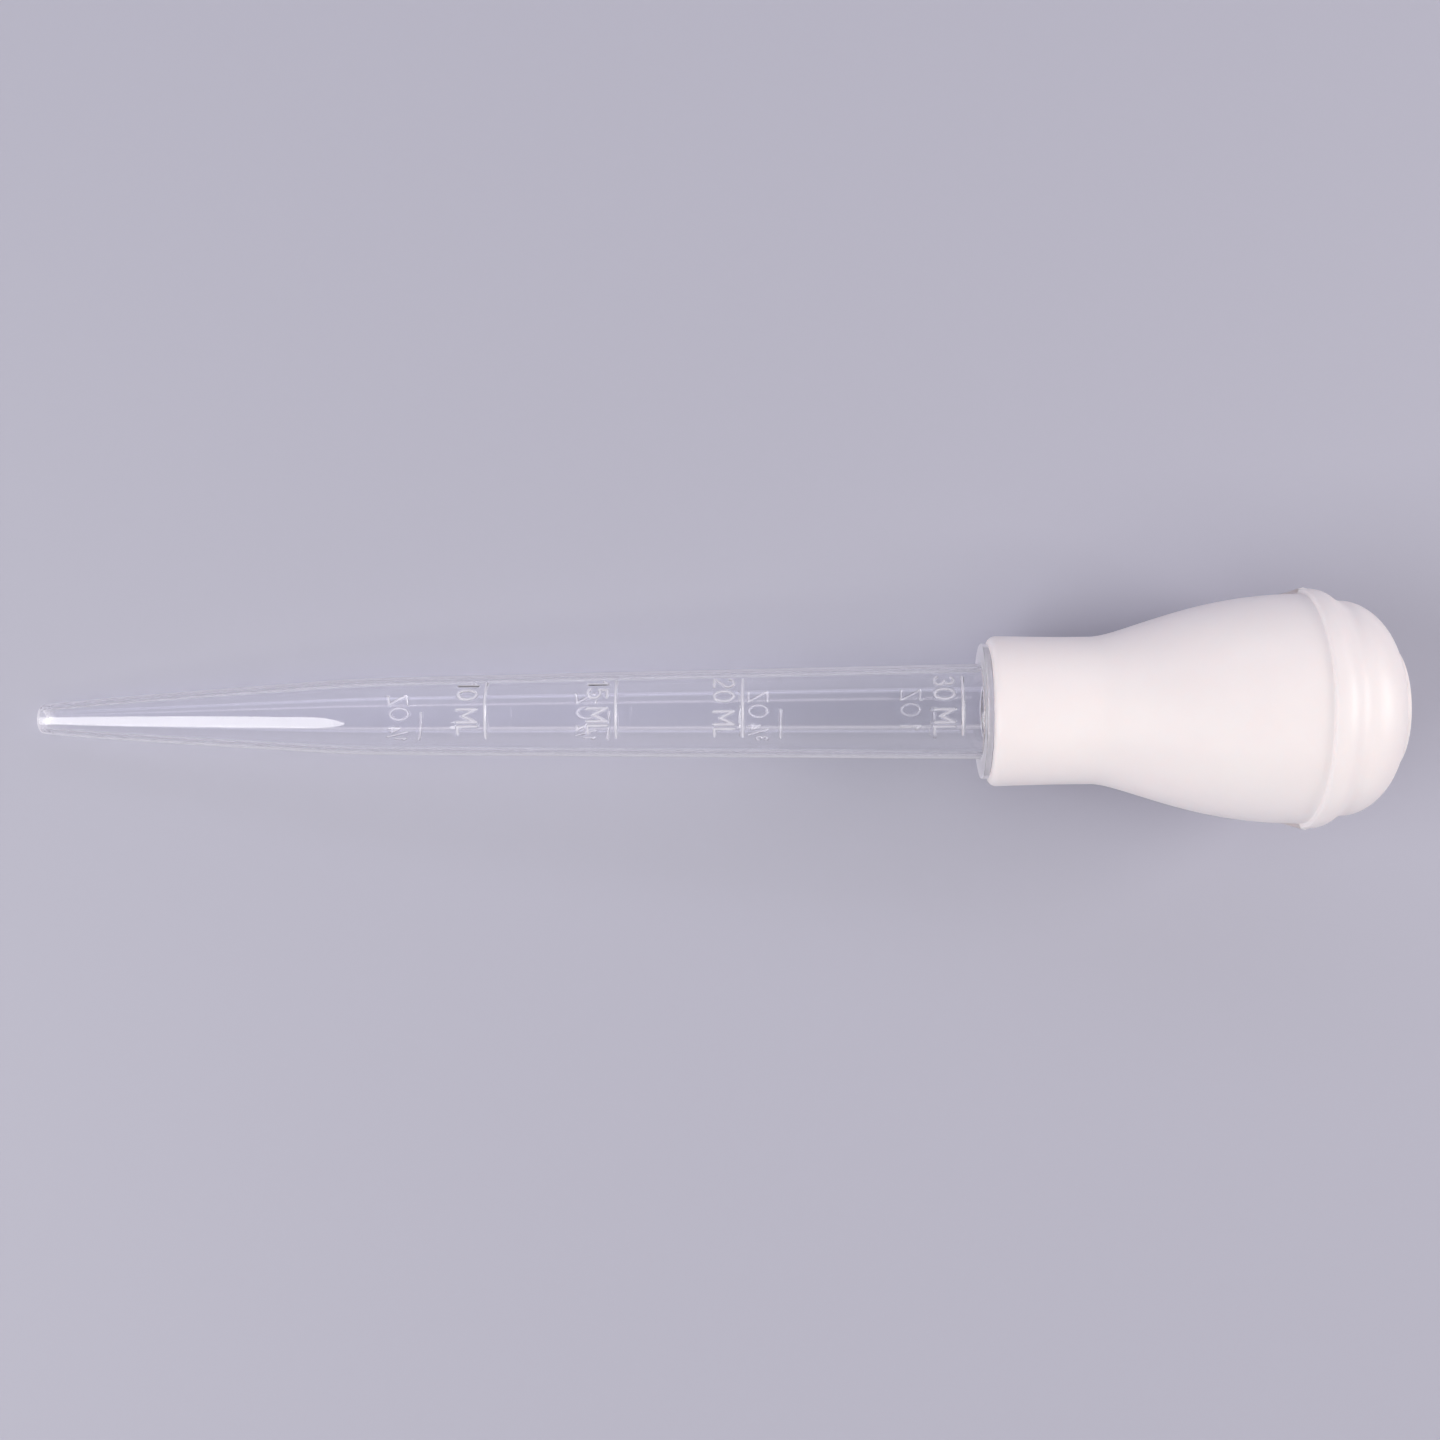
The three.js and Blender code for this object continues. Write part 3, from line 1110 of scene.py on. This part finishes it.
    def build_skin(self, side: Side, finish: bpy.types.Material, slot: str) -> bpy.types.Object:
        """Makes one half of the bulb as a closed thick skin.

        Args:
            side: which half.
            finish: the silicone.
            slot: the record's slot that it stands for; not used.

        Returns:
            The skin, bending between the bulb's body and the squeeze wall's.
        """
        outer = self.outer_outline()
        inner = self.inner_outline(len(outer))
        turns = self.half_turns()
        sheets = []
        for line, is_outer in ((outer, True), (inner, False)):
            along = np.repeat(line[:, 0], len(turns))
            radius = np.repeat(line[:, 1], len(turns))
            turn = np.tile(turns, len(line))
            if is_outer:
                radius = radius + self.flash_height(along, radius * np.sin(turn))
            level = radius * np.sin(turn) * side.value
            sheets.append(np.column_stack([along, radius * np.cos(turn), level]))
        faces = self._skin_faces(len(outer), len(turns), side)
        skin = make_piece(
            f"bulb_skin_{side.word}", self.axis.settle(np.vstack(sheets)), faces, finish
        )
        self._close(skin)
        self._dent(skin, side)
        return skin

    def _skin_faces(self, rows: int, columns: int, side: Side) -> np.ndarray:
        """Faces of the outer sheet, the inner sheet, the mouth and the two cut edges."""
        outer = grid_faces(rows, columns)
        offset = rows * columns
        inner = outer[:, ::-1] + offset
        j = np.arange(columns - 1)
        mouth = np.column_stack([j + 1, j, j + offset, j + 1 + offset])
        i = np.arange(rows - 1) * columns
        first = np.column_stack([i, i + columns, i + columns + offset, i + offset])
        last = first[:, ::-1] + columns - 1
        faces = np.vstack([outer, inner, mouth, first, last])
        return faces if side is Side.UPPER else faces[:, ::-1]

    @staticmethod
    def _close(skin: bpy.types.Object) -> None:
        """Joins the points that meet on the axis, so that the skin is one closed solid."""
        work = bmesh.new()
        work.from_mesh(skin.data)
        bmesh.ops.remove_doubles(work, verts=work.verts, dist=WELD_WITHIN)
        bmesh.ops.dissolve_degenerate(work, edges=work.edges, dist=SLIVER_BELOW)
        bmesh.ops.recalc_face_normals(work, faces=work.faces)
        work.to_mesh(skin.data)
        work.free()

    def _dent(self, skin: bpy.types.Object, side: Side) -> None:
        """Lets the belly follow the squeeze wall, fading out towards the neck and the bead."""
        up = self.axis.up * side.value * MM
        middle = self.axis.point(self.dent_span[1])
        start, end = middle + up * self.dent_low, middle + up * self.dent_high
        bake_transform(skin, "bulb", f"{side.word}_wall", start=tuple(start), end=tuple(end))
        mesh = skin.data
        places = np.empty(len(mesh.vertices) * 3)
        mesh.vertices.foreach_get("co", places)
        from_nozzle = places.reshape(-1, 3) - np.array(self.axis.origin)
        along = from_nozzle @ np.array(self.axis.along) / MM
        low, full, still_full, high = self.dent_span
        share = smooth_step(along, low, full) * (1.0 - smooth_step(along, still_full, high))
        follow = mesh.attributes["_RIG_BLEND"].data
        weights = np.empty(len(mesh.vertices), np.float32)
        follow.foreach_get("value", weights)
        follow.foreach_set("value", (weights * share).astype(np.float32))

    def build(self, finish: WhiteSilicone) -> list[bpy.types.Object]:
        """Makes both skins.

        Args:
            finish: the silicone.

        Returns:
            The upper and the lower skin.
        """
        silicone = finish.material()
        skins = [self.build_skin(side, silicone, finish.slot) for side in Side]
        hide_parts("squeeze_bulb", "upper_squeeze_wall")
        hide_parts("lower_squeeze_wall")
        return skins


# ---- the studio --------------------------------------------------------------------------------


@dataclass(frozen=True)
class Softbox:
    """A soft oval lamp.

    Attributes:
        name: the lamp's name.
        place: where it hangs, in metres.
        aim: the point it faces, in metres.
        size: width and height, in metres.
        watts: its power.
        colour: the sRGB colour of its light.
        mirrored: whether it shows in glossy surfaces and through clear ones.
    """

    name: str
    place: tuple[float, float, float]
    aim: tuple[float, float, float]
    size: tuple[float, float]
    watts: float
    colour: str = "#FFFFFF"
    mirrored: bool = True

    def build(self) -> bpy.types.Object:
        """Hangs the lamp and turns it to its aim."""
        lamp = bpy.data.lights.new(self.name, "AREA")
        lamp.shape = "ELLIPSE"
        lamp.size, lamp.size_y = self.size
        lamp.energy = self.watts
        lamp.color = linear(self.colour)[:3]
        made = bpy.data.objects.new(self.name, lamp)
        made.location = self.place
        made.visible_glossy = made.visible_transmission = self.mirrored
        facing = Vector(self.aim) - Vector(self.place)
        made.rotation_euler = facing.to_track_quat("-Z", "Y").to_euler()
        bpy.context.scene.collection.objects.link(made)
        return made


@dataclass
class Studio:
    """The table card, the soft light and the camera straight above."""

    axis: AxisFrame
    aim_along: float = 144.06
    aim_side: float = -1.35
    distance: float = 340.0
    lens: float = 40.87
    sensor: float = 36.0
    nearest: float = 0.01
    tilt: float = 3.0
    roll: float = 0.47
    floor_size: float = 2.6
    sky: str = "#EFEDF6"
    zenith: float = 0.27
    horizon: float = 0.8
    walls_to: float = 0.45
    softboxes: tuple[Softbox, ...] = (
        Softbox("key", (-0.97, -0.27, 0.93), (-0.105, 0.0, 0.01), (1.18, 0.82), 10.2, "#FFFDF8"),
        Softbox("overhead", (0.0, 0.0, 1.40), (0.05, 0.0, 0.0), (1.4, 1.2), 2.9, "#FFFBF8", False),
        Softbox("right_fill", (1.05, 0.10, 0.60), (0.10, 0.0, 0.02), (0.8, 0.6), 6.2, "#FFF9F3"),
        Softbox("back_strip", (0.05, 0.95, 0.64), (0.05, 0.0, 0.0), (2.6, 0.16), 1.9, "#F2F0FF"),
        Softbox("front_strip", (0.05, -0.75, 0.94), (0.05, 0.0, 0.0), (2.6, 0.16), 1.7, "#FFF9F4"),
        Softbox("front_fill", (0.10, -1.1, 0.75), (0.08, 0.0, 0.02), (2.2, 1.2), 0.9, "#FFF9F4"),
        Softbox("back_fill", (0.05, 1.1, 0.76), (0.05, 0.0, 0.02), (2.2, 1.0), 0.5, "#E4DFFB"),
    )

    def floor(self, finish: TableCard) -> bpy.types.Object:
        """Lays the card under the baster."""
        half = self.floor_size / 2
        corners = np.array([(-half, -half), (half, -half), (half, half), (-half, half)])
        points = np.column_stack([corners, np.zeros(4)])
        card = make_piece("table_card", points, np.array([[0, 1, 2, 3]]), finish.material())
        return card

    def light(self) -> None:
        """Hangs the lamps and sets the sky that fills the shadows."""
        for softbox in self.softboxes:
            softbox.build()
        world = bpy.data.worlds.new("studio")
        world.use_nodes = True
        tree = world.node_tree
        # White walls stand round the table, so the sky is brightest low down.
        place = add_node(tree, "ShaderNodeTexCoord")
        height = add_node(tree, "ShaderNodeSeparateXYZ", {0: place.outputs["Generated"]})
        strength = add_node(
            tree,
            "ShaderNodeMapRange",
            {
                "Value": height.outputs["Z"],
                "From Max": self.walls_to,
                "To Min": self.horizon,
                "To Max": self.zenith,
            },
        )
        background = tree.nodes["Background"]
        background.inputs["Color"].default_value = linear(self.sky)
        tree.links.new(strength.outputs[0], background.inputs["Strength"])
        bpy.context.scene.world = world
        bpy.context.scene.view_settings.view_transform = "Standard"

    def camera(self) -> bpy.types.Object:
        """Sets the camera above the baster, a little off square to its axis."""
        tilt, roll = math.radians(self.tilt), math.radians(self.roll)
        right = self.axis.along * math.cos(tilt) - self.axis.up * math.sin(tilt)
        back = self.axis.along * math.sin(tilt) + self.axis.up * math.cos(tilt)
        turned_right = right * math.cos(roll) - self.axis.side * math.sin(roll)
        upright = back.cross(turned_right)
        aim = self.axis.point(self.aim_along, self.aim_side)
        lens = bpy.data.cameras.new("camera")
        lens.lens = self.lens
        lens.sensor_width = self.sensor
        lens.clip_start = self.nearest
        camera = bpy.data.objects.new("camera", lens)
        turn = Matrix((turned_right, upright, back)).transposed().to_4x4()
        camera.matrix_world = Matrix.Translation(aim + back * self.distance * MM) @ turn
        bpy.context.scene.collection.objects.link(camera)
        bpy.context.scene.camera = camera
        return camera


# ---- building it all ---------------------------------------------------------------------------


def main() -> None:
    """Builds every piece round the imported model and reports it."""
    logging.basicConfig(level=logging.INFO, format="%(name)s: %(message)s")
    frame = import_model()
    whole_length = SqueezeBulb.end
    axis = AxisFrame.from_record(frame["record"], whole_length)

    studio = Studio(axis)
    studio.camera()
    studio.light()
    studio.floor(TableCard("lavender_card", ""))

    tube = GraduatedTube(axis).build(ClearResin("clear_san", "clear_resin"))
    LOG.info("%s: %d faces", tube.name, len(tube.data.polygons))
    for skin in SqueezeBulb(axis).build(WhiteSilicone("white_silicone", "white_silicone")):
        LOG.info("%s: %d faces", skin.name, len(skin.data.polygons))


if __name__ == "__main__":
    main()
